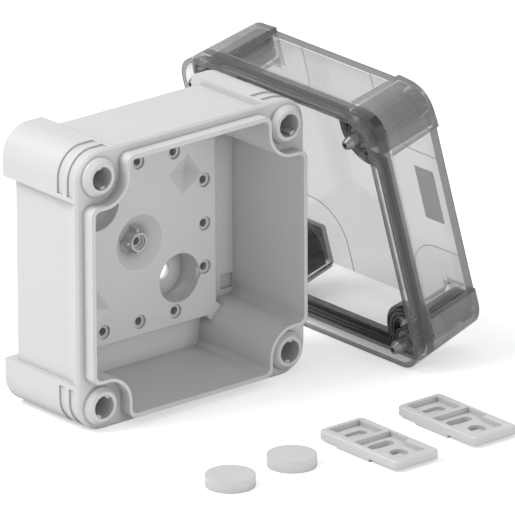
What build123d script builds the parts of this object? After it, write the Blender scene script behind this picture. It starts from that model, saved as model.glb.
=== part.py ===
from build123d import *
import math
import os

os.makedirs("parts", exist_ok=True)

# A square moulded enclosure standing on one of its sides: the open base faces the front, the
# lid stands beside it, and two sealing caps and two wall lugs lie in front. Millimetres.
# The origin is the middle of the base's inner mounting face, +Z is up and -Y is the open front.

# outline that the base and the lid share
side = 114.0
corner_radius = 12.0
screw_inset = 10.25
pillar_width = 19.6
window_recess = 2.5

# base, depths along Y
base_depth = 45.0
foot_height = 5.0
floor_wall = 2.0
mount_face_height = 6.0
mount_face_margin = 18.5
mount_wall = 2.0
lip_height = 5.6
lip_inset = 3.2
lip_wall = 1.7
loop_radius = 11.4
loop_wall = 1.4
loop_round = 2.5
blend_start = 1.5
blend_radius = 17.0
flange_edge = 0.9
lobe_radius = 3.6
lobe_setback = 1.0

# screw bosses and the sockets behind them
boss_diameter = 15.6
boss_height = 3.2
boss_shoulder = 1.7
boss_bore = 9.3
boss_bore_depth = 16.0
key_width = 2.2
key_height = 1.0
key_length = 6.0
key_start = 0.8
key_first = 60.0
key_turn = 20.0
socket_wall = 2.0

# shallow bands cut round each pillar corner
score_width = 3.3
score_depth = 0.7
score_reach = 17.6
score_first = 2.5
score_pitch = 6.0

# wells for the wall screws
well_diameter = 20.0
well_depth = 11.0
well_floor = 2.0
well_wall = 1.6
well_x = 20.0
well_z = -19.5
wall_screw_hole = 8.0
pry_radius = 3.6
pry_offset = 7.4
pry_depth = 1.5

# middle recess with its boss
funnel_diameter = 22.7
funnel_floor_diameter = 10.4
funnel_depth = 5.5
funnel_wall = 1.6
hub_diameter = 7.7
hub_rib = 1.0
hub_counterbore = 6.3
hub_step = 5.0
hub_step_depth = 1.0

# pilot holes for whatever is mounted inside
pilot_edge = 5.5
pilot_step = 18.0
pilot_hole = 3.3
pilot_counterbore = 5.8
pilot_facets = 16
pilot_counterbore_depth = 1.0
pilot_floor = 1.5
pilot_boss = 7.4

# pyramid-shaped recesses, their lowest point set off to one side
diamond_side = 12.0
diamond_floor = 1.0
diamond_depth = 4.5
diamond_offset = 3.0
diamond_wall = 1.6
diamond_x = 23.3
diamond_z = 22.7
diamond_turn = 35.5
dimple_size = 6.0
dimple_depth = 1.4
dimple_inset = 8.2
dimple_z = -29.3

# lid, depths measured from its opening
lid_depth = 35.7
lid_draft = 1.35
lid_wall = 2.0
rim_height = 10.2
shelf_wall = 1.6
inner_rib_wall = 1.15
rib_height = 2.1
outer_rib_wall = 1.1
lid_edge = 1.0
cove_radius = 1.5
lid_window_draft = 1.0
column_diameter = 12.0
column_web = 1.0
head_column_diameter = 14.6

# gasket in the lid's channel
gasket_width = 3.9
gasket_height = 3.2
gasket_side_gap = 0.05

# captive cover screws
screw_nose = 4.0
nose_diameter = 3.4
nose_hole = 2.0
nose_hole_depth = 6.0
cone_length = 2.7
cam_diameter = 5.6
cam_lug_reach = 3.6
cam_lug_width = 2.0
cam_lug_height = 1.2
cam_lug_start = 5.6
shaft_reach = 2.2
shaft_web = 1.8
bore_gap = 0.1
head_diameter = 10.6
head_height = 4.0
head_sink = 1.2
head_gap = 0.4
driver_slot = 1.4
driver_slot_depth = 2.2
face_gap = 0.1
ring_diameter = 9.6
ring_thickness = 1.0
ring_facets = 12
ring_gap = 0.1
ring_side_gap = 0.3

# sealing caps for the wells
cap_fit = 0.25
cap_height = 4.4
cap_wall = 1.5

# wall lugs
lug_width = 22.0
lug_length = 46.5
lug_rim_height = 3.4
lug_block_height = 1.2
lug_plate = 1.4
lug_corner = 2.2
lug_edge = 0.5
lug_block_start = 11.3
lug_block_length = 19.0
rear_pocket_width = 15.2
rear_pocket_start = 2.5
rear_pocket_length = 14.3
lug_rib = 2.4
front_pocket_width = 18.0
front_pocket_length = 11.0
nose_pocket_width = 13.2
nose_pocket_length = 12.3
lug_slot_width = 4.6
rear_slot_length = 10.4
rear_slot_at = 9.3
front_slot_length = 12.0
front_slot_at = 24.4
lug_hole = 7.0
lug_hole_at = 35.0

# where the loose pieces stand
lid_tilt = 15.0
lid_gap_x = 0.45
lid_y = -10.5
left_cap_x = -45.8
left_cap_y = -109.8
right_cap_x = -14.3
right_cap_y = -108.8
left_lug_x = 20.8
right_lug_x = 60.4
lug_y = -119.1

# derived positions
half = side / 2
screw_pitch = side - 2 * screw_inset
screw_at = screw_pitch / 2
mount_face_width = side - 2 * mount_face_margin
lobe_pitch = mount_face_width - 2 * lobe_setback
pilot_reach = mount_face_width / 2 - pilot_edge
window_width = side - 2 * pillar_width
floor_y = mount_face_height
rear_y = floor_y + floor_wall
feet_y = rear_y + foot_height
flange_y = feet_y - base_depth
lip_y = flange_y - lip_height
boss_y = flange_y - boss_height
bore_floor_y = boss_y + boss_bore_depth
socket_floor_y = bore_floor_y + floor_wall
table_z = -half
lip_outer = half - lip_inset
lip_inner = lip_outer - lip_wall
lip_middle = (lip_outer + lip_inner) / 2
well_rear_y = well_depth + well_floor


def across(y):
    """Plane at depth y that faces the open front, with +X and +Z as its axes."""
    return Plane.XZ.offset(-y)


def stepped_square(reach, loop, rounding):
    """Square that steps inward round each screw boss, on arcs about the boss axes."""
    block = 2 * (half - screw_at + loop)
    with BuildSketch(mode=Mode.PRIVATE) as outline:
        Rectangle(2 * reach, 2 * reach)
        with GridLocations(side, side, 2, 2):
            RectangleRounded(block, block, loop, mode=Mode.SUBTRACT)
        tips = outline.vertices().filter_by(lambda v: max(abs(v.X), abs(v.Y)) > reach - 0.001)
        fillet(tips, rounding)
    return outline.sketch_local


def corner_blocks(loop, reach, radius):
    """The four corner areas behind those steps, inside a rounded square."""
    block = 2 * (half - screw_at + loop)
    with BuildSketch(mode=Mode.PRIVATE) as outline:
        with GridLocations(side, side, 2, 2):
            RectangleRounded(block, block, loop)
        RectangleRounded(2 * reach, 2 * reach, radius, mode=Mode.INTERSECT)
    return outline.sketch_local


def corner_pieces(reach, gap, radius):
    """The four corners that a cross-shaped gap leaves of a rounded square."""
    RectangleRounded(2 * reach, 2 * reach, radius)
    Rectangle(gap, 2 * reach, mode=Mode.SUBTRACT)
    Rectangle(2 * reach, gap, mode=Mode.SUBTRACT)


# base: outline, feet and the recessed walls between the pillars
with BuildPart() as base:
    with BuildSketch(across(rear_y)):
        RectangleRounded(side, side, corner_radius)
    extrude(amount=rear_y - flange_y)
    chamfer(base.edges().filter_by_position(Axis.Y, flange_y - 0.01, flange_y + 0.01), flange_edge)
    with BuildSketch(across(feet_y)):
        corner_pieces(half, window_width, corner_radius)
    extrude(amount=foot_height)
    blend_run = math.sqrt(blend_radius**2 - (blend_radius - window_recess) ** 2)
    blend_y = flange_y + blend_start
    for turn in range(4):
        with BuildSketch(Plane.XY.rotated((0, 90 * turn, 0)).offset(-window_width / 2)):
            with BuildLine():
                flat = Line((half - window_recess, rear_y), (half - window_recess, blend_y + blend_run))
                hollow = TangentArc(flat @ 1, (half, blend_y), tangent=flat % 1)
                Polyline(hollow @ 1, (half + 1, blend_y), (half + 1, rear_y), flat @ 0)
            make_face()
        extrude(amount=window_width, mode=Mode.SUBTRACT)

    # sealing lip and the cavity that follows it
    with BuildSketch(across(flange_y)):
        add(stepped_square(lip_outer, loop_radius - loop_wall / 2, loop_round + loop_wall / 2))
    extrude(amount=lip_height)
    with BuildSketch(across(lip_y)):
        add(stepped_square(lip_inner, loop_radius + loop_wall / 2, loop_round))
    extrude(amount=lip_y - floor_y, mode=Mode.SUBTRACT)

    # mounting face, hollow from behind
    with BuildSketch(across(rear_y)):
        Rectangle(mount_face_width, mount_face_width)
        with GridLocations(lobe_pitch, lobe_pitch, 2, 2):
            Circle(lobe_radius)
    extrude(amount=rear_y)
    with BuildSketch(across(rear_y)):
        Rectangle(mount_face_width - 2 * mount_wall, mount_face_width - 2 * mount_wall)
    extrude(amount=rear_y - mount_wall, mode=Mode.SUBTRACT)
    with BuildSketch(across(rear_y)):
        Circle(funnel_diameter / 2 + funnel_wall)
        with GridLocations(2 * pilot_reach, pilot_step, 2, 3):
            Rectangle(pilot_boss, pilot_boss)
        with GridLocations(pilot_step, 2 * pilot_reach, 3, 2):
            Rectangle(pilot_boss, pilot_boss)
        with Locations((diamond_x, diamond_z), (-diamond_x, -diamond_z)):
            Rectangle(diamond_side + 2 * diamond_wall, diamond_side + 2 * diamond_wall, diamond_turn)
    extrude(amount=rear_y - mount_wall)
    with BuildSketch(across(well_rear_y)):
        with Locations((well_x, well_z), (-well_x, -well_z)):
            Circle(well_diameter / 2 + well_wall)
    extrude(amount=well_rear_y - mount_wall)

    # wells, their wall-screw holes and the pry notches at their rims
    with BuildSketch(across(0)):
        with Locations((well_x, well_z), (-well_x, -well_z)):
            Circle(well_diameter / 2)
    extrude(amount=-well_depth, mode=Mode.SUBTRACT)
    with BuildSketch(across(0)):
        with Locations((well_x, well_z), (-well_x, -well_z)):
            Circle(wall_screw_hole / 2)
    extrude(amount=-well_rear_y, mode=Mode.SUBTRACT)
    with BuildSketch(across(0)):
        with Locations((well_x + pry_offset, well_z), (-well_x - pry_offset, -well_z)):
            Circle(pry_radius)
    extrude(amount=-pry_depth, mode=Mode.SUBTRACT)

    # funnel turned round the middle boss
    with BuildSketch(Plane.XY):
        with BuildLine():
            Polyline(
                (hub_diameter / 2, 0),
                (funnel_diameter / 2, 0),
                (funnel_floor_diameter / 2, funnel_depth),
                (hub_diameter / 2, funnel_depth),
                close=True,
            )
        make_face()
    revolve(axis=Axis.Y, mode=Mode.SUBTRACT)
    with BuildSketch(across(funnel_depth)):
        Rectangle(funnel_floor_diameter, hub_rib)
        Rectangle(hub_rib, funnel_floor_diameter)
    extrude(amount=funnel_depth - hub_step_depth)
    with BuildSketch(across(0)):
        Circle(hub_counterbore / 2)
    extrude(amount=-hub_step_depth, mode=Mode.SUBTRACT)
    with BuildSketch(across(0)):
        Circle(hub_step / 2)
    extrude(amount=-2 * hub_step_depth, mode=Mode.SUBTRACT)

    # pilot holes, each with a shallow counterbore
    with BuildSketch(across(0)):
        Circle(pilot_hole / 2)
        with GridLocations(2 * pilot_reach, pilot_step, 2, 3):
            Circle(pilot_hole / 2)
        with GridLocations(pilot_step, 2 * pilot_reach, 3, 2):
            Circle(pilot_hole / 2)
    extrude(amount=pilot_floor - rear_y, mode=Mode.SUBTRACT)
    with BuildSketch(across(0)):
        with GridLocations(2 * pilot_reach, pilot_step, 2, 3):
            RegularPolygon(pilot_counterbore / 2, pilot_facets)
        with GridLocations(pilot_step, 2 * pilot_reach, 3, 2):
            RegularPolygon(pilot_counterbore / 2, pilot_facets)
    extrude(amount=-pilot_counterbore_depth, mode=Mode.SUBTRACT)

    # pyramid-shaped recesses and floor dimples
    low_x = diamond_side / 2 + diamond_offset * math.cos(math.radians(diamond_turn))
    low_z = diamond_side / 2 - diamond_offset * math.sin(math.radians(diamond_turn))
    for place, turn in (((diamond_x, 0, diamond_z), 0), ((-diamond_x, 0, -diamond_z), 180)):
        with Locations(place):
            Wedge(
                diamond_side,
                diamond_depth,
                diamond_side,
                low_x - diamond_floor / 2,
                low_z - diamond_floor / 2,
                low_x + diamond_floor / 2,
                low_z + diamond_floor / 2,
                rotation=(0, turn - diamond_turn, 0),
                align=(Align.CENTER, Align.MIN, Align.CENTER),
                mode=Mode.SUBTRACT,
            )
    with BuildSketch(across(floor_y)):
        with Locations((half - dimple_inset, dimple_z), (dimple_inset - half, -dimple_z)):
            Rectangle(dimple_size, dimple_size)
    extrude(amount=-dimple_depth, mode=Mode.SUBTRACT)

    # screw bosses with keyed bores, and the sockets in the feet
    with BuildSketch(across(flange_y)):
        with GridLocations(screw_pitch, screw_pitch, 2, 2):
            Circle(boss_diameter / 2)
    extrude(amount=boss_height)
    rims = base.edges().filter_by_position(Axis.Y, boss_y - 0.01, boss_y + 0.01)
    chamfer(rims.filter_by(lambda e: abs(e.radius - boss_diameter / 2) < 0.01), boss_shoulder)
    with BuildSketch(across(boss_y)):
        with GridLocations(screw_pitch, screw_pitch, 2, 2):
            Circle(boss_bore / 2)
    extrude(amount=-boss_bore_depth, mode=Mode.SUBTRACT)
    with BuildSketch(across(boss_y + key_start + key_length)):
        for place, (side_x, side_z) in enumerate(((-1, -1), (1, -1), (-1, 1), (1, 1))):
            with Locations((side_x * screw_at, side_z * screw_at)):
                with PolarLocations(boss_bore / 2, 2, start_angle=key_first + place * key_turn):
                    Rectangle(2 * key_height, key_width)
    extrude(amount=key_length)
    with BuildSketch(across(feet_y)):
        corner_pieces(half - socket_wall, window_width + 2 * socket_wall, corner_radius - socket_wall)
    extrude(amount=feet_y - socket_floor_y, mode=Mode.SUBTRACT)

    # shallow bands round each pillar corner
    for line in range(2):
        with BuildSketch(across(flange_y + score_first + line * score_pitch + score_width)):
            corner_pieces(half, side - 2 * score_reach, corner_radius)
            RectangleRounded(
                side - 2 * score_depth,
                side - 2 * score_depth,
                corner_radius - score_depth,
                mode=Mode.SUBTRACT,
            )
        extrude(amount=score_width, mode=Mode.SUBTRACT)

base.part.label = "base"
export_step(base.part, "parts/base.step")

# the lid stands on the lower edge of its opening and leans toward the base
lean = math.radians(lid_tilt)
lid_plane = Plane(
    origin=(half + half * math.sin(lean) + lid_gap_x, lid_y, table_z + half * math.cos(lean)),
    x_dir=(0, 1, 0),
    z_dir=(math.cos(lean), 0, math.sin(lean)),
)
lid_axis = Axis(lid_plane.origin, lid_plane.z_dir)
channel_floor = rim_height - shelf_wall
channel_half = gasket_width / 2 + gasket_side_gap
channel_outer = lip_middle + channel_half
channel_inner = lip_middle - channel_half
rim_wall = half - channel_outer
rib_top = channel_floor - rib_height
rib_reach = channel_inner - inner_rib_wall
rib_loop = loop_radius + channel_half + inner_rib_wall
pocket_loop = loop_radius - channel_half - outer_rib_wall
pocket_reach = half - lid_draft - lid_wall
lid_inner = half - window_recess - lid_wall
lid_front = lid_depth - lid_wall
window_top = half - window_recess - lid_window_draft
front_half = half - lid_draft
head_floor = lid_depth - head_sink - head_height
column_bore = 2 * (cam_lug_reach + bore_gap)
ring_seat_diameter = ring_diameter + 2 * ring_side_gap
ring_seat = boss_height + ring_thickness + 2 * ring_gap
ring_hole = math.hypot(shaft_reach, shaft_web / 2) + ring_gap


def into_lid(depth):
    """Plane inside the lid at a depth behind its opening."""
    return lid_plane.offset(depth)


# lid: drafted outside, rim pocket, shelf and the cavity behind it
with BuildPart() as lid:
    with BuildSketch(into_lid(0)):
        RectangleRounded(side, side, corner_radius)
    with BuildSketch(into_lid(lid_depth)):
        RectangleRounded(2 * front_half, 2 * front_half, corner_radius)
    loft(ruled=True)
    chamfer(lid.faces().sort_by(lid_axis)[-1].edges(), lid_edge)
    with BuildSketch(into_lid(0)):
        RectangleRounded(2 * channel_outer, 2 * channel_outer, corner_radius - rim_wall)
    extrude(amount=channel_floor, mode=Mode.SUBTRACT)
    with BuildSketch(into_lid(channel_floor)):
        add(stepped_square(rib_reach, rib_loop, loop_round))
    extrude(amount=shelf_wall, mode=Mode.SUBTRACT)
    with BuildSketch(into_lid(rim_height)):
        add(stepped_square(lid_inner, pocket_loop + lid_wall, loop_round))
    with BuildSketch(into_lid(lid_front)):
        add(stepped_square(lid_inner - lid_window_draft, pocket_loop + lid_wall, loop_round))
    loft(ruled=True, mode=Mode.SUBTRACT)

    # ribs on both sides of the gasket channel
    with BuildSketch(into_lid(rib_top)):
        add(stepped_square(channel_inner, loop_radius + channel_half, loop_round))
        add(stepped_square(rib_reach, rib_loop, loop_round), mode=Mode.SUBTRACT)
    extrude(amount=rib_height)
    with BuildSketch(into_lid(rib_top)):
        add(corner_blocks(pocket_loop + outer_rib_wall, channel_outer, corner_radius - rim_wall))
    extrude(amount=rib_height)

    # windows between the pillars, sunk behind the rim band
    for outward in (lid_plane.x_dir, lid_plane.y_dir, -lid_plane.x_dir, -lid_plane.y_dir):
        with BuildSketch(Plane(lid_plane.origin, x_dir=outward, z_dir=outward.cross(lid_plane.z_dir))):
            with BuildLine():
                sunk = FilletPolyline(
                    (half + 1, rim_height),
                    (half - window_recess, rim_height),
                    (window_top, lid_depth),
                    radius=cove_radius,
                )
                Polyline(sunk @ 1, (window_top, lid_depth + 1), (half + 1, lid_depth + 1), sunk @ 0)
            make_face()
        extrude(amount=window_width / 2, both=True, mode=Mode.SUBTRACT)

    # screw columns in the pockets of the four corners
    with BuildSketch(into_lid(rib_top)):
        add(corner_blocks(pocket_loop, pocket_reach, corner_radius - lid_wall))
    extrude(amount=lid_front - rib_top, mode=Mode.SUBTRACT)
    with BuildSketch(into_lid(channel_floor)):
        with GridLocations(screw_pitch, screw_pitch, 2, 2):
            Rectangle(2 * pocket_loop, column_web)
            Rectangle(column_web, 2 * pocket_loop)
    extrude(amount=lid_front - channel_floor)
    with BuildSketch(into_lid(boss_height)):
        with GridLocations(screw_pitch, screw_pitch, 2, 2):
            Circle(column_diameter / 2)
    extrude(amount=lid_front - boss_height)
    with BuildSketch(into_lid(head_floor - lid_wall)):
        with GridLocations(screw_pitch, screw_pitch, 2, 2):
            Circle(head_column_diameter / 2)
    extrude(amount=lid_front - head_floor + lid_wall)
    with BuildSketch(into_lid(0)):
        with GridLocations(screw_pitch, screw_pitch, 2, 2):
            Circle(column_bore / 2)
    extrude(amount=lid_depth, mode=Mode.SUBTRACT)
    with BuildSketch(into_lid(0)):
        with GridLocations(screw_pitch, screw_pitch, 2, 2):
            Circle(ring_seat_diameter / 2)
    extrude(amount=ring_seat, mode=Mode.SUBTRACT)
    with BuildSketch(into_lid(head_floor)):
        with GridLocations(screw_pitch, screw_pitch, 2, 2):
            Circle(head_diameter / 2 + head_gap)
    extrude(amount=lid_depth - head_floor, mode=Mode.SUBTRACT)

lid.part.label = "lid"
export_step(lid.part, "parts/lid.step")

# gasket: one endless strip that follows the sealing lip
with BuildPart() as gasket:
    with BuildSketch(into_lid(channel_floor)):
        add(
            stepped_square(
                lip_middle + gasket_width / 2,
                loop_radius - gasket_width / 2,
                loop_round + gasket_width / 2,
            )
        )
        add(
            stepped_square(
                lip_middle - gasket_width / 2,
                loop_radius + gasket_width / 2,
                loop_round - gasket_width / 2,
            ),
            mode=Mode.SUBTRACT,
        )
    extrude(amount=-gasket_height)

gasket.part.label = "gasket"
export_step(gasket.part, "parts/gasket.step")

# cover screws, captive in the lid's columns, and the rings that hold them
for screw_name, along, up in (
    ("front_upper", -screw_at, screw_at),
    ("front_lower", -screw_at, -screw_at),
    ("back_upper", screw_at, screw_at),
    ("back_lower", screw_at, -screw_at),
):
    screw_origin = lid_plane.from_local_coords((along, up, 0))
    screw_axis = Axis(screw_origin, lid_plane.z_dir)
    profile_plane = Plane(screw_origin, x_dir=lid_plane.x_dir, z_dir=lid_plane.x_dir.cross(lid_plane.z_dir))
    screw_plane = Plane(screw_origin, x_dir=lid_plane.x_dir, z_dir=lid_plane.z_dir)
    with BuildPart() as screw:
        with BuildSketch(profile_plane):
            with BuildLine():
                Polyline(
                    (0, -screw_nose),
                    (nose_diameter / 2, -screw_nose),
                    (cam_diameter / 2, cone_length - screw_nose),
                    (cam_diameter / 2, boss_height),
                    (0, boss_height),
                    close=True,
                )
            make_face()
        revolve(axis=screw_axis)
        with BuildSketch(screw_plane.offset(head_floor + face_gap)):
            Circle(head_diameter / 2)
        extrude(amount=head_height)
        with BuildSketch(screw_plane.offset(boss_height)):
            Rectangle(2 * shaft_reach, shaft_web)
            Rectangle(shaft_web, 2 * shaft_reach)
        extrude(amount=head_floor + face_gap - boss_height)
        with BuildSketch(screw_plane.offset(cam_lug_start - screw_nose)):
            Rectangle(2 * cam_lug_reach, cam_lug_width)
            Circle(cam_lug_reach, mode=Mode.INTERSECT)
        extrude(amount=cam_lug_height)
        with BuildSketch(screw_plane.offset(-screw_nose)):
            Circle(nose_hole / 2)
        extrude(amount=nose_hole_depth, mode=Mode.SUBTRACT)
        with BuildSketch(screw_plane.offset(head_floor + face_gap + head_height)):
            Rectangle(head_diameter, driver_slot)
        extrude(amount=-driver_slot_depth, mode=Mode.SUBTRACT)
    screw.part.label = f"cover_screw_{screw_name}"
    export_step(screw.part, f"parts/cover_screw_{screw_name}.step")

    with BuildPart() as ring:
        with BuildSketch(screw_plane.offset(boss_height + ring_gap)):
            RegularPolygon(ring_diameter / 2, ring_facets)
            RegularPolygon(ring_hole, ring_facets, major_radius=False, mode=Mode.SUBTRACT)
        extrude(amount=ring_thickness)
    ring.part.label = f"retaining_ring_{screw_name}"
    export_step(ring.part, f"parts/retaining_ring_{screw_name}.step")

# sealing caps for the wells, lying open side down
for cap_name, cap_x, cap_y in (("left", left_cap_x, left_cap_y), ("right", right_cap_x, right_cap_y)):
    with BuildPart() as cap:
        with BuildSketch(Plane((cap_x, cap_y, table_z))):
            Circle(well_diameter / 2 - cap_fit)
        extrude(amount=cap_height)
        with BuildSketch(Plane((cap_x, cap_y, table_z))):
            Circle(well_diameter / 2 - cap_fit - cap_wall)
        extrude(amount=cap_height - cap_wall, mode=Mode.SUBTRACT)
    cap.part.label = f"sealing_cap_{cap_name}"
    export_step(cap.part, f"parts/sealing_cap_{cap_name}.step")

# wall lugs, lying on the blocks under their plates
lug_top = lug_block_height + lug_rim_height
lug_end = lug_length / 2
front_pocket_start = rear_pocket_start + rear_pocket_length + lug_rib
nose_pocket_start = front_pocket_start + front_pocket_length
for lug_name, lug_x in (("left", left_lug_x), ("right", right_lug_x)):
    lug_plane = Plane((lug_x, lug_y, table_z))
    with BuildPart() as lug:
        with BuildSketch(lug_plane.offset(lug_block_height)):
            RectangleRounded(lug_width, lug_length, lug_corner)
        extrude(amount=lug_rim_height)
        chamfer(lug.faces().sort_by(Axis.Z)[-1].edges(), lug_edge)
        with BuildSketch(lug_plane):
            with Locations((0, lug_end - lug_block_start - lug_block_length / 2)):
                Rectangle(lug_width, lug_block_length)
        extrude(amount=lug_block_height)
        with BuildSketch(lug_plane.offset(lug_top)):
            with Locations((0, lug_end - rear_pocket_start - rear_pocket_length / 2)):
                Rectangle(rear_pocket_width, rear_pocket_length)
            with Locations((0, lug_end - front_pocket_start - front_pocket_length / 2)):
                Rectangle(front_pocket_width, front_pocket_length)
            with Locations((0, lug_end - nose_pocket_start - nose_pocket_length / 2)):
                Rectangle(nose_pocket_width, nose_pocket_length)
        extrude(amount=lug_plate - lug_rim_height, mode=Mode.SUBTRACT)
        with BuildSketch(lug_plane):
            with Locations((0, lug_end - rear_slot_at)):
                SlotOverall(rear_slot_length, lug_slot_width)
            with Locations((0, lug_end - front_slot_at)):
                SlotOverall(front_slot_length, lug_slot_width)
            with Locations((0, lug_end - lug_hole_at)):
                Circle(lug_hole / 2)
        extrude(amount=lug_top, mode=Mode.SUBTRACT)
    lug.part.label = f"wall_lug_{lug_name}"
    export_step(lug.part, f"parts/wall_lug_{lug_name}.step")
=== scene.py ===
import math

import bmesh
import bpy
from mathutils import Matrix, Vector


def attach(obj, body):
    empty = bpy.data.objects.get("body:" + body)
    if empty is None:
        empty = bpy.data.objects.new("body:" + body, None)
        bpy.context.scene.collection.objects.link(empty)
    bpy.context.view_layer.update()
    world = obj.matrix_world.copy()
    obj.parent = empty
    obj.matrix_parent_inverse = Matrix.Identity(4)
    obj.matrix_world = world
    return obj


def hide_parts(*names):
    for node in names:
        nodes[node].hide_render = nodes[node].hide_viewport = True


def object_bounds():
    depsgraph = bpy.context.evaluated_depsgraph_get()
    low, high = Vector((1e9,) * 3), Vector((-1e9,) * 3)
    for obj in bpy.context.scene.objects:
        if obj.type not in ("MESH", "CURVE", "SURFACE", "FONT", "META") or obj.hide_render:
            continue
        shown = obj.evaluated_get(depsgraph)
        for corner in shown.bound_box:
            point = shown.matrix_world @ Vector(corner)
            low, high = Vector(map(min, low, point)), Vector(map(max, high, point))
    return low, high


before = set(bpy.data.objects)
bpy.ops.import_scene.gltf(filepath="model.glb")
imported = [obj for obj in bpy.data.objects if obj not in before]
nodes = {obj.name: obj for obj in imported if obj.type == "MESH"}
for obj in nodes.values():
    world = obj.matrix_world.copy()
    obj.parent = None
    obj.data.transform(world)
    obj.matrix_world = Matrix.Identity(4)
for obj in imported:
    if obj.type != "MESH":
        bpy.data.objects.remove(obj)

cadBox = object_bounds()
print("frame loaded:", len(nodes), "nodes")

# camera where the photographer stood, about 4.7 m away with a very long lens
cameraPlace = {
    "at": (-2.80413, -3.43559, 1.62117),
    "right": (0.767038, -0.641585, -0.004579),
    "up": (0.224376, 0.261549, 0.938748),
    "lens": 849.3,
}
camData = bpy.data.cameras.new("photoCamera")
camData.lens = cameraPlace["lens"]
camData.sensor_width = 36.0
camData.clip_end = 100.0
cam = bpy.data.objects.new("photoCamera", camData)
camRight = Vector(cameraPlace["right"]).normalized()
camUp = Vector(cameraPlace["up"]).normalized()
camBack = camRight.cross(camUp).normalized()
camTurn = Matrix((camRight, camUp, camBack)).transposed().to_4x4()
cam.matrix_world = Matrix.Translation(Vector(cameraPlace["at"])) @ camTurn
bpy.context.scene.collection.objects.link(cam)
bpy.context.scene.camera = cam
bpy.context.scene.view_settings.view_transform = "Standard"

# the lid's own frame: along its edge, up its face, and deep behind its opening
lidFrame = {"lean": math.radians(15.0), "middle": Vector((0.072203, -0.0105, -0.001942))}
lidAlong = Vector((0.0, 1.0, 0.0))
lidUp = Vector((-math.sin(lidFrame["lean"]), 0.0, math.cos(lidFrame["lean"])))
lidDeep = Vector((math.cos(lidFrame["lean"]), 0.0, math.sin(lidFrame["lean"])))
lidTurn = Matrix((lidAlong, lidUp, lidDeep)).transposed().to_4x4()
lidMatrix = Matrix.Translation(lidFrame["middle"]) @ lidTurn


def addTo(material, kind, **inputs):
    # one node with its constant inputs set on its own sockets
    node = material.node_tree.nodes.new(kind)
    for name, value in inputs.items():
        node.inputs[name.replace("_", " ")].default_value = value
    return node


def newMaterial(name, **surface):
    material = bpy.data.materials.new(name)
    material.use_nodes = True
    material.node_tree.nodes.clear()
    output = material.node_tree.nodes.new("ShaderNodeOutputMaterial")
    shader = material.node_tree.nodes.new("ShaderNodeBsdfPrincipled")
    for socket, value in surface.items():
        shader.inputs[socket.replace("_", " ")].default_value = value
    material.node_tree.links.new(shader.outputs[0], output.inputs["Surface"])
    place = material.node_tree.nodes.new("ShaderNodeTexCoord")
    return material, material.node_tree.links.new, shader, place


def mixOf(material, kind, first, second):
    # Mix node between two constants, its factor left to link
    mix = addTo(material, "ShaderNodeMix")
    mix.data_type = kind
    low, high = (6, 7) if kind == "RGBA" else (2, 3)
    mix.inputs[low].default_value = first
    mix.inputs[high].default_value = second
    return mix


def mathOf(material, operation, first, second=None):
    node = addTo(material, "ShaderNodeMath")
    node.operation = operation
    for socket, value in zip(node.inputs, (first, second)):
        if isinstance(value, float):
            socket.default_value = value
        elif value is not None:
            material.node_tree.links.new(value, socket)
    return node.outputs[0]


def useMaterial(obj, material):
    obj.data.materials.clear()
    obj.data.materials.append(material)


def shadeSoft(obj, angle=35.0):
    for polygon in obj.data.polygons:
        polygon.use_smooth = True
    obj.data.set_sharp_from_angle(angle=math.radians(angle))


def pieceFrom(name, mesh, material, body):
    data = bpy.data.meshes.new(name)
    mesh.to_mesh(data)
    mesh.free()
    piece = bpy.data.objects.new(name, data)
    bpy.context.scene.collection.objects.link(piece)
    useMaterial(piece, material)
    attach(piece, body)
    return piece


# moulded light-grey polycarbonate of the base, caps and lugs
shellLook = {
    "tone": (0.67, 0.675, 0.678, 1.0),
    "shade": (0.63, 0.635, 0.638, 1.0),
    "mottle": 38.0,
    "grain": 2600.0,
    "grainDepth": 0.00002,
    "roughLow": 0.34,
    "roughHigh": 0.46,
    "bump": 0.35,
    "edge": 0.0005,
    # painted shade: a darker tone laid into hollows, and how far and how strongly it reaches
    "hollowShade": (0.47, 0.475, 0.478, 1.0),
    "hollowShadeReach": 0.009,
    "hollowShadeRays": 8,
    "hollowShadeFull": 0.35,
    "hollowShadeNone": 0.80,
}


def mouldedPlastic(name, look):
    material, link, shader, place = newMaterial(name, IOR=1.5)
    cloud = addTo(material, "ShaderNodeTexNoise", Scale=look["mottle"], Detail=3.0, Roughness=0.5)
    link(place.outputs["Object"], cloud.inputs["Vector"])
    tone = mixOf(material, "RGBA", look["shade"], look["tone"])
    link(cloud.outputs["Fac"], tone.inputs["Factor"])
    # painted shade: where ambient occlusion finds a hollow, the colour turns darker than on open faces
    hollowShading = addTo(material, "ShaderNodeAmbientOcclusion", Distance=look["hollowShadeReach"])
    hollowShading.samples = look["hollowShadeRays"]
    full, none = look["hollowShadeFull"], look["hollowShadeNone"]
    openness = addTo(material, "ShaderNodeMapRange", From_Min=full, From_Max=none)
    link(hollowShading.outputs["AO"], openness.inputs["Value"])
    withHollowShade = mixOf(material, "RGBA", look["hollowShade"], look["tone"])
    link(openness.outputs[0], withHollowShade.inputs["Factor"])
    link(tone.outputs[2], withHollowShade.inputs[7])
    link(withHollowShade.outputs[2], shader.inputs["Base Color"])
    rough = addTo(material, "ShaderNodeMapRange", To_Min=look["roughLow"], To_Max=look["roughHigh"])
    link(cloud.outputs["Fac"], rough.inputs["Value"])
    link(rough.outputs[0], shader.inputs["Roughness"])
    grain = addTo(material, "ShaderNodeTexNoise", Scale=look["grain"], Detail=2.0)
    link(place.outputs["Object"], grain.inputs["Vector"])
    softEdge = addTo(material, "ShaderNodeBevel", Radius=look["edge"])
    bump = addTo(material, "ShaderNodeBump", Strength=look["bump"], Distance=look["grainDepth"])
    link(grain.outputs["Fac"], bump.inputs["Height"])
    link(softEdge.outputs[0], bump.inputs["Normal"])
    link(bump.outputs[0], shader.inputs["Normal"])
    return material


shellPlastic = mouldedPlastic("shellPlastic", shellLook)
print("moulded plastic made")

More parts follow.
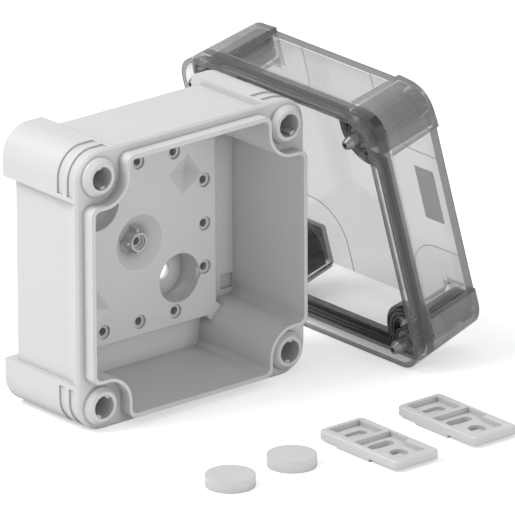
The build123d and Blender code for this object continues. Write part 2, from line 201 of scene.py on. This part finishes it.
# clear lid: in each zone, how much light a surface lets through, how hazy it is and in what tone;
# below them where the zones start and end, as depth behind the opening or reach from the middle
lidLook = {
    "window": {"clear": 0.98, "haze": 0.02, "tone": 0.50},
    "panel": {"clear": 0.77, "haze": 0.06, "tone": 0.62},
    # painted shade: the lower wall lets less light through, standing in for the shadow on the floor
    # beneath it
    "foot": {"clear": 0.81, "haze": 0.05, "tone": 0.55},
    "rim": {"clear": 0.92, "haze": 0.06, "tone": 0.30},
    "shelf": {"clear": 0.38, "haze": 0.40, "tone": 0.11},
    "rib": {"clear": 0.45, "haze": 0.12, "tone": 0.06},
    "mouth": {"clear": 0.50, "haze": 0.50, "tone": 0.14},
    "pillar": {"clear": 0.66, "haze": 0.42, "tone": 0.34},
    "collar": {"clear": 0.70, "haze": 0.42, "tone": 0.38},
    "pocket": {"clear": 0.56, "haze": 0.30, "tone": 0.10},
    # painted shade: the lower corner farthest from the lamps, darker than the other corners
    "cornerShade": {"clear": 0.40, "haze": 0.45, "tone": 0.05},
    "brink": {"clear": 0.40, "haze": 0.68, "tone": 0.20},
    "mouthEnd": 0.0004,
    "shelfStart": 0.0056,
    "collarEnd": 0.0155,
    "rimEnd": 0.0102,
    "ribStart": 0.0063,
    "wallInside": 0.0545,
    "pillarFrom": 0.0374,
    "pocketReach": 0.0515,
    "panelFrom": 0.0334,
    "footFrom": 0.0530,
    "brinkFrom": 0.0320,
    "brinkReach": 0.0528,
    "cornerShadeFrom": 0.0360,
    "cornerShadeReach": 0.0540,
    "blur": 0.0002,
    "wallSlant": 0.5,
    "flow": 22.0,
    "flowRange": (0.75, 1.25),
    "edge": 0.0004,
    "gloss": 0.05,
    "glossRange": (0.045, 0.5),
    "glossPower": 5.0,
    "dimTone": 0.15,
    "dimShare": 0.5,
    "dimPower": 3.0,
}


def clearPlastic(name, look):
    material, link, shader, place = newMaterial(name, Roughness=0.25, IOR=1.5)
    output = material.node_tree.nodes["Material Output"]
    turn = addTo(material, "ShaderNodeMapping")
    turn.vector_type = "TEXTURE"
    turn.inputs["Location"].default_value = lidFrame["middle"]
    turn.inputs["Rotation"].default_value = (0.0, -lidFrame["lean"], 0.0)
    link(place.outputs["Object"], turn.inputs["Vector"])
    axes = addTo(material, "ShaderNodeSeparateXYZ")
    link(turn.outputs[0], axes.inputs[0])
    deep = axes.outputs["X"]
    along = mathOf(material, "ABSOLUTE", axes.outputs["Y"])
    up = mathOf(material, "ABSOLUTE", axes.outputs["Z"])
    reach = mathOf(material, "MAXIMUM", along, up)

    def beyond(value, start):
        low, high = start - look["blur"], start + look["blur"]
        ramp = addTo(material, "ShaderNodeMapRange", From_Min=low, From_Max=high)
        link(value, ramp.inputs["Value"])
        return ramp.outputs[0]

    def both(first, second):
        return mathOf(material, "MULTIPLY", first, second)

    def without(zone):
        return mathOf(material, "SUBTRACT", 1.0, zone)

    # a wall is crossed at a slant, so its outer face meets the rim a little sooner
    past = mathOf(material, "MAXIMUM", mathOf(material, "SUBTRACT", reach, look["wallInside"]), 0.0)
    rimDepth = mathOf(material, "ADD", deep, mathOf(material, "MULTIPLY", past, look["wallSlant"]))
    rimZone = without(beyond(rimDepth, look["rimEnd"]))
    insideWall = without(beyond(reach, look["wallInside"]))
    ribZone = both(both(rimZone, beyond(deep, look["ribStart"])), insideWall)
    panelZone = beyond(deep, look["panelFrom"])
    # its lower wall, less clear as painted shade in place of the shadow on the floor beneath it, and the
    # front edge of its upper wall and of the wall toward -Y
    below = mathOf(material, "MULTIPLY", axes.outputs["Z"], -1.0)
    footShadeZone = beyond(below, look["footFrom"])
    near = mathOf(material, "MULTIPLY", axes.outputs["Y"], -1.0)
    outer = mathOf(material, "MAXIMUM", near, axes.outputs["Z"])
    brinkZone = both(beyond(deep, look["brinkFrom"]), beyond(outer, look["brinkReach"]))
    corner = both(beyond(along, look["pillarFrom"]), beyond(up, look["pillarFrom"]))
    pillarZone = both(corner, beyond(deep, look["rimEnd"]))
    shelfZone = both(rimZone, beyond(deep, look["shelfStart"]))
    mouthZone = without(beyond(deep, look["mouthEnd"]))
    collarZone = both(pillarZone, without(beyond(deep, look["collarEnd"])))
    pocketZone = both(pillarZone, without(beyond(reach, look["pocketReach"])))
    # painted shade: the lower corner farthest from the lamps is made darker and less clear
    farCorner = both(beyond(axes.outputs["Y"], look["cornerShadeFrom"]), beyond(below, look["cornerShadeFrom"]))
    cornerShadeZone = both(farCorner, beyond(deep, look["rimEnd"]))
    cornerShadeZone = both(cornerShadeZone, without(beyond(reach, look["cornerShadeReach"])))
    zones = (
        ("foot", footShadeZone),
        ("panel", panelZone),
        ("pillar", pillarZone),
        ("collar", collarZone),
        ("pocket", pocketZone),
        ("cornerShade", cornerShadeZone),
        ("brink", brinkZone),
        ("rim", rimZone),
        ("shelf", shelfZone),
        ("rib", ribZone),
        ("mouth", mouthZone),
    )
    flow = addTo(material, "ShaderNodeTexNoise", Scale=look["flow"], Detail=2.0, Distortion=0.6)
    link(place.outputs["Object"], flow.inputs["Vector"])
    flowLow, flowHigh = look["flowRange"]
    flowShare = addTo(material, "ShaderNodeMapRange", To_Min=flowLow, To_Max=flowHigh)
    link(flow.outputs["Fac"], flowShare.inputs["Value"])

    def zoned(quantity):
        value = None
        for zone, mask in zones:
            mix = mixOf(material, "FLOAT", look["window"][quantity], look[zone][quantity])
            if value is not None:
                link(value, mix.inputs[2])
            link(mask, mix.inputs[0])
            value = mix.outputs[0]
        return value

    # a slanting wall is looked through lengthwise, so it is darker
    softEdge = addTo(material, "ShaderNodeBevel", Radius=look["edge"])
    slant = addTo(material, "ShaderNodeLayerWeight", Blend=0.5)
    link(softEdge.outputs[0], slant.inputs["Normal"])
    dim = mathOf(material, "POWER", slant.outputs["Facing"], look["dimPower"])
    tone = mixOf(material, "FLOAT", 0.0, look["dimTone"])
    link(dim, tone.inputs[0])
    link(zoned("tone"), tone.inputs[2])
    link(tone.outputs[0], shader.inputs["Base Color"])
    clear = addTo(material, "ShaderNodeBsdfTransparent")
    link(zoned("clear"), clear.inputs["Color"])
    haze = both(zoned("haze"), flowShare.outputs[0])
    haze = mathOf(material, "ADD", haze, both(dim, look["dimShare"]))
    body = addTo(material, "ShaderNodeMixShader")
    link(haze, body.inputs[0])
    link(clear.outputs[0], body.inputs[1])
    link(shader.outputs[0], body.inputs[2])

    # gloss of a clear plastic: faint face on, strong at a slant
    steep = mathOf(material, "POWER", slant.outputs["Facing"], look["glossPower"])
    glossLow, glossHigh = look["glossRange"]
    share = addTo(material, "ShaderNodeMapRange", To_Min=glossLow, To_Max=glossHigh)
    link(steep, share.inputs["Value"])
    gloss = addTo(material, "ShaderNodeBsdfGlossy", Roughness=look["gloss"], Color=(1.0, 1.0, 1.0, 1.0))
    link(softEdge.outputs[0], gloss.inputs["Normal"])
    surface = addTo(material, "ShaderNodeMixShader")
    link(share.outputs[0], surface.inputs[0])
    link(body.outputs[0], surface.inputs[1])
    link(gloss.outputs[0], surface.inputs[2])
    link(surface.outputs[0], output.inputs["Surface"])
    return material


lidPlastic = clearPlastic("lidPlastic", lidLook)
print("clear plastic made")

# black rubber of the gasket and dark glossy plastic of the screws
sealLook = {
    "tone": (0.018, 0.018, 0.019, 1.0),
    "light": (0.07, 0.07, 0.072, 1.0),
    "pores": 900.0,
    "depth": 0.00004,
    "bump": 0.3,
    "edge": 0.0002,
}
screwLook = {
    "tone": (0.16, 0.16, 0.162, 1.0),
    "light": (0.26, 0.26, 0.262, 1.0),
    "pores": 260.0,
    "depth": 0.00002,
    "bump": 0.3,
    "edge": 0.0002,
}
sealGloss = {"Roughness": 0.24, "Coat_Weight": 0.8, "Coat_Roughness": 0.1}
screwGloss = {"Roughness": 0.2, "Metallic": 0.55, "Coat_Weight": 0.6, "Coat_Roughness": 0.08}


def darkStuff(name, look, **surface):
    material, link, shader, place = newMaterial(name, **surface)
    cloud = addTo(material, "ShaderNodeTexNoise", Scale=look["pores"], Detail=4.0)
    link(place.outputs["Object"], cloud.inputs["Vector"])
    tone = mixOf(material, "RGBA", look["tone"], look["light"])
    link(cloud.outputs["Fac"], tone.inputs["Factor"])
    link(tone.outputs[2], shader.inputs["Base Color"])
    softEdge = addTo(material, "ShaderNodeBevel", Radius=look["edge"])
    bump = addTo(material, "ShaderNodeBump", Strength=look["bump"], Distance=look["depth"])
    link(cloud.outputs["Fac"], bump.inputs["Height"])
    link(softEdge.outputs[0], bump.inputs["Normal"])
    link(bump.outputs[0], shader.inputs["Normal"])
    return material


sealRubber = darkStuff("sealRubber", sealLook, **sealGloss)
screwPlastic = darkStuff("screwPlastic", screwLook, **screwGloss)
for name, node in nodes.items():
    if name == "lid":
        useMaterial(node, lidPlastic)
    elif name == "gasket":
        useMaterial(node, sealRubber)
    elif name.startswith(("cover_screw", "retaining_ring")):
        useMaterial(node, screwPlastic)
    else:
        useMaterial(node, shellPlastic)
print("materials on all nodes")

# gasket: the strip of the frame with two grooves pressed into its face, so three lips stand
gasketShape = {
    "side": 0.0006,
    "slope": 0.0002,
    "groove": 0.0004,
    "depth": 0.0007,
    "round": 0.00012,
    "roundAbove": 0.0062,
    "merge": 0.000002,
    "sliver": 0.0000005,
}


def grooveGasket(name, shape):
    strip = bmesh.new()
    strip.from_mesh(nodes["gasket"].data)
    bmesh.ops.remove_doubles(strip, verts=strip.verts, dist=shape["merge"])
    face = [f for f in strip.faces if f.normal.dot(lidDeep) < -0.99]
    steps = (
        (shape["side"], 0.0),
        (shape["slope"], -shape["depth"]),
        (shape["groove"], 0.0),
        (shape["slope"], shape["depth"]),
    )
    for width, depth in steps:
        bmesh.ops.inset_region(
            strip, faces=face, thickness=width, depth=depth, use_even_offset=True, use_boundary=True,
        )

    def depthOf(vert):
        return (vert.co - lidFrame["middle"]).dot(lidDeep)

    inner = [e for e in strip.edges if len(e.link_faces) == 2]
    sharp = [e for e in inner if e.calc_face_angle() > math.radians(40.0)]
    lips = [e for e in sharp if all(depthOf(v) < shape["roundAbove"] for v in e.verts)]
    bmesh.ops.bevel(
        strip, geom=lips, offset=shape["round"], offset_type="OFFSET", segments=2,
        profile=0.5, affect="EDGES", material=-1, clamp_overlap=True,
    )
    bmesh.ops.dissolve_degenerate(strip, edges=strip.edges, dist=shape["sliver"])
    piece = pieceFrom(name, strip, sealRubber, "lid")
    shadeSoft(piece, 30.0)
    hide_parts("gasket")
    return piece


gasketStrip = grooveGasket("gasketStrip", gasketShape)
print("gasket grooved:", len(gasketStrip.data.polygons), "faces")

# drill guides: fine raised lines that cut off the four corners of the front panel
guideLine = {
    "across": 0.0207,
    "level": 0.0222,
    "radius": 0.0173,
    "end": 0.0521,
    "deep": 0.0337,
    "wide": 0.00022,
    "high": 0.0001,
    "sunk": 0.00002,
    "steps": 18,
    "merge": 0.000001,
}
scribeLook = {
    "tone": (0.10, 0.10, 0.102, 1.0),
    "light": (0.17, 0.17, 0.172, 1.0),
    "pores": 400.0,
    "depth": 0.00001,
    "bump": 0.3,
    "edge": 0.0002,
}


def drillGuides(name, line):
    mesh = bmesh.new()
    half, sunk, high = line["wide"] / 2, -line["sunk"], line["high"]
    start = [
        mesh.verts.new((line["end"], line["level"] + across, line["deep"] - lift))
        for across, lift in ((-half, sunk), (half, sunk), (half, high), (-half, high))
    ]
    tip = mesh.faces.new(start)
    firstRun = bmesh.ops.extrude_face_region(mesh, geom=[tip])["geom"]
    moved = [v for v in firstRun if isinstance(v, bmesh.types.BMVert)]
    bmesh.ops.translate(mesh, verts=moved, vec=(line["across"] + line["radius"] - line["end"], 0.0, 0.0))
    tip = next(f for f in firstRun if isinstance(f, bmesh.types.BMFace))
    arcMiddle = (line["across"] + line["radius"], line["level"] + line["radius"], 0.0)
    turned = bmesh.ops.spin(
        mesh, geom=[tip] + list(tip.edges) + list(tip.verts), cent=arcMiddle, axis=(0.0, 0.0, 1.0),
        angle=math.radians(-90.0), steps=line["steps"], use_duplicate=False,
    )["geom_last"]
    tip = next(f for f in turned if isinstance(f, bmesh.types.BMFace))
    lastRun = bmesh.ops.extrude_face_region(mesh, geom=[tip])["geom"]
    moved = [v for v in lastRun if isinstance(v, bmesh.types.BMVert)]
    bmesh.ops.translate(mesh, verts=moved, vec=(0.0, line["end"] - line["level"] - line["radius"], 0.0))
    for axis in ("X", "Y"):
        everything = mesh.verts[:] + mesh.edges[:] + mesh.faces[:]
        bmesh.ops.mirror(mesh, geom=everything, axis=axis, merge_dist=0.0)
    bmesh.ops.remove_doubles(mesh, verts=mesh.verts, dist=line["merge"])
    bmesh.ops.recalc_face_normals(mesh, faces=mesh.faces)
    bmesh.ops.transform(mesh, matrix=lidMatrix, verts=mesh.verts)
    bmesh.ops.recalc_face_normals(mesh, faces=mesh.faces)
    tone = darkStuff("guideTone", scribeLook, Roughness=0.3)
    return pieceFrom(name, mesh, tone, "lid")


guides = drillGuides("panelGuides", guideLine)
print("drill guides:", len(guides.data.polygons), "faces")

# frosted field on the outside of the front panel, left bare
fieldShape = {
    "along": (-0.0441, -0.0329),
    "up": (-0.0112, 0.0127),
    "deep": 0.0357,
    "thick": 0.00008,
    "corner": 0.0004,
}
fieldLook = {
    "tone": (0.20, 0.20, 0.202, 1.0),
    "light": (0.26, 0.26, 0.262, 1.0),
    "grain": 1500.0,
    "share": 0.62,
    "spread": 0.06,
}


def frostedField(name, shape, look):
    material, link, shader, place = newMaterial("frostedTone", Roughness=0.5, IOR=1.5)
    grain = addTo(material, "ShaderNodeTexNoise", Scale=look["grain"], Detail=3.0)
    link(place.outputs["Object"], grain.inputs["Vector"])
    tone = mixOf(material, "RGBA", look["tone"], look["light"])
    link(grain.outputs["Fac"], tone.inputs["Factor"])
    link(tone.outputs[2], shader.inputs["Base Color"])
    low, high = look["share"] - look["spread"], look["share"] + look["spread"]
    cover = addTo(material, "ShaderNodeMapRange", To_Min=low, To_Max=high)
    link(grain.outputs["Fac"], cover.inputs["Value"])
    link(cover.outputs[0], shader.inputs["Alpha"])
    mesh = bmesh.new()
    bmesh.ops.create_grid(mesh, x_segments=1, y_segments=1, size=0.5)
    left, right = shape["along"]
    foot, head = shape["up"]
    bmesh.ops.scale(mesh, vec=(right - left, head - foot, 1.0), verts=mesh.verts)
    middle = ((left + right) / 2, (foot + head) / 2, shape["deep"])
    bmesh.ops.translate(mesh, vec=middle, verts=mesh.verts)
    bmesh.ops.bevel(
        mesh, geom=mesh.verts[:], offset=shape["corner"], offset_type="OFFSET", segments=4,
        profile=0.5, affect="VERTICES", material=-1,
    )
    raised = bmesh.ops.extrude_face_region(mesh, geom=mesh.faces[:])["geom"]
    top = [v for v in raised if isinstance(v, bmesh.types.BMVert)]
    bmesh.ops.translate(mesh, vec=(0.0, 0.0, shape["thick"]), verts=top)
    bmesh.ops.transform(mesh, matrix=lidMatrix, verts=mesh.verts)
    bmesh.ops.recalc_face_normals(mesh, faces=mesh.faces)
    return pieceFrom(name, mesh, material, "lid")


field = frostedField("frostedField", fieldShape, fieldLook)
print("frosted field:", len(field.data.polygons), "faces")

# stage: white floor that still shows the shadow
floorLook = {"size": 8.0, "below": 0.0001, "tone": (0.9, 0.9, 0.9, 1.0), "glow": 0.45}
floorMesh = bmesh.new()
bmesh.ops.create_grid(floorMesh, x_segments=1, y_segments=1, size=floorLook["size"])
bmesh.ops.translate(floorMesh, verts=floorMesh.verts, vec=(0, 0, cadBox[0][2] - floorLook["below"]))
floorData = bpy.data.meshes.new("floor")
floorMesh.to_mesh(floorData)
floorMesh.free()
floor = bpy.data.objects.new("floor", floorData)
bpy.context.scene.collection.objects.link(floor)
floorPaint, link, shader, place = newMaterial("floorPaint", Roughness=0.9)
shader.inputs["Base Color"].default_value = floorLook["tone"]
shader.inputs["Emission Color"].default_value = (1.0, 1.0, 1.0, 1.0)
rays = addTo(floorPaint, "ShaderNodeLightPath")
seen = mathOf(floorPaint, "MAXIMUM", rays.outputs["Is Camera Ray"], rays.outputs["Is Transmission Ray"])
link(mathOf(floorPaint, "MULTIPLY", seen, floorLook["glow"]), shader.inputs["Emission Strength"])
useMaterial(floor, floorPaint)

# level light: a white surround, a key lamp above to the left, and a weaker lamp in front
worldLook = {"surround": 0.50, "mirrored": 0.75, "seen": 1.0}
world = bpy.data.worlds.new("studio")
world.use_nodes = True
bpy.context.scene.world = world
worldNodes = world.node_tree.nodes
worldLink = world.node_tree.links.new
worldNodes.clear()
worldOut = worldNodes.new("ShaderNodeOutputWorld")
surround = worldNodes.new("ShaderNodeBackground")
surround.inputs["Color"].default_value = (1.0, 1.0, 1.0, 1.0)
worldRays = worldNodes.new("ShaderNodeLightPath")
seenSky = worldNodes.new("ShaderNodeMath")
seenSky.operation = "MAXIMUM"
worldLink(worldRays.outputs["Is Camera Ray"], seenSky.inputs[0])
worldLink(worldRays.outputs["Is Transmission Ray"], seenSky.inputs[1])
mirrorRange = worldNodes.new("ShaderNodeMapRange")
mirrorRange.inputs["To Min"].default_value = worldLook["surround"]
mirrorRange.inputs["To Max"].default_value = worldLook["mirrored"]
worldLink(worldRays.outputs["Is Glossy Ray"], mirrorRange.inputs["Value"])
skyRange = worldNodes.new("ShaderNodeMapRange")
skyRange.inputs["To Max"].default_value = worldLook["seen"]
worldLink(seenSky.outputs[0], skyRange.inputs["Value"])
worldLink(mirrorRange.outputs[0], skyRange.inputs["To Min"])
worldLink(skyRange.outputs[0], surround.inputs["Strength"])
worldLink(surround.outputs[0], worldOut.inputs["Surface"])

lampPlan = {
    "keyLamp": {"at": (-0.95, 0.45, 1.35), "size": 0.9, "power": 21.5},
    "frontLamp": {"at": (0.1, -1.7, 0.45), "size": 1.0, "power": 7.0},
}
for lampName, plan in lampPlan.items():
    lampData = bpy.data.lights.new(lampName, "AREA")
    lampData.shape = "SQUARE"
    lampData.size = plan["size"]
    lampData.energy = plan["power"]
    lamp = bpy.data.objects.new(lampName, lampData)
    lamp.location = plan["at"]
    lamp.rotation_euler = (-Vector(plan["at"])).to_track_quat("-Z", "Y").to_euler()
    bpy.context.scene.collection.objects.link(lamp)
print("stage and light ready")
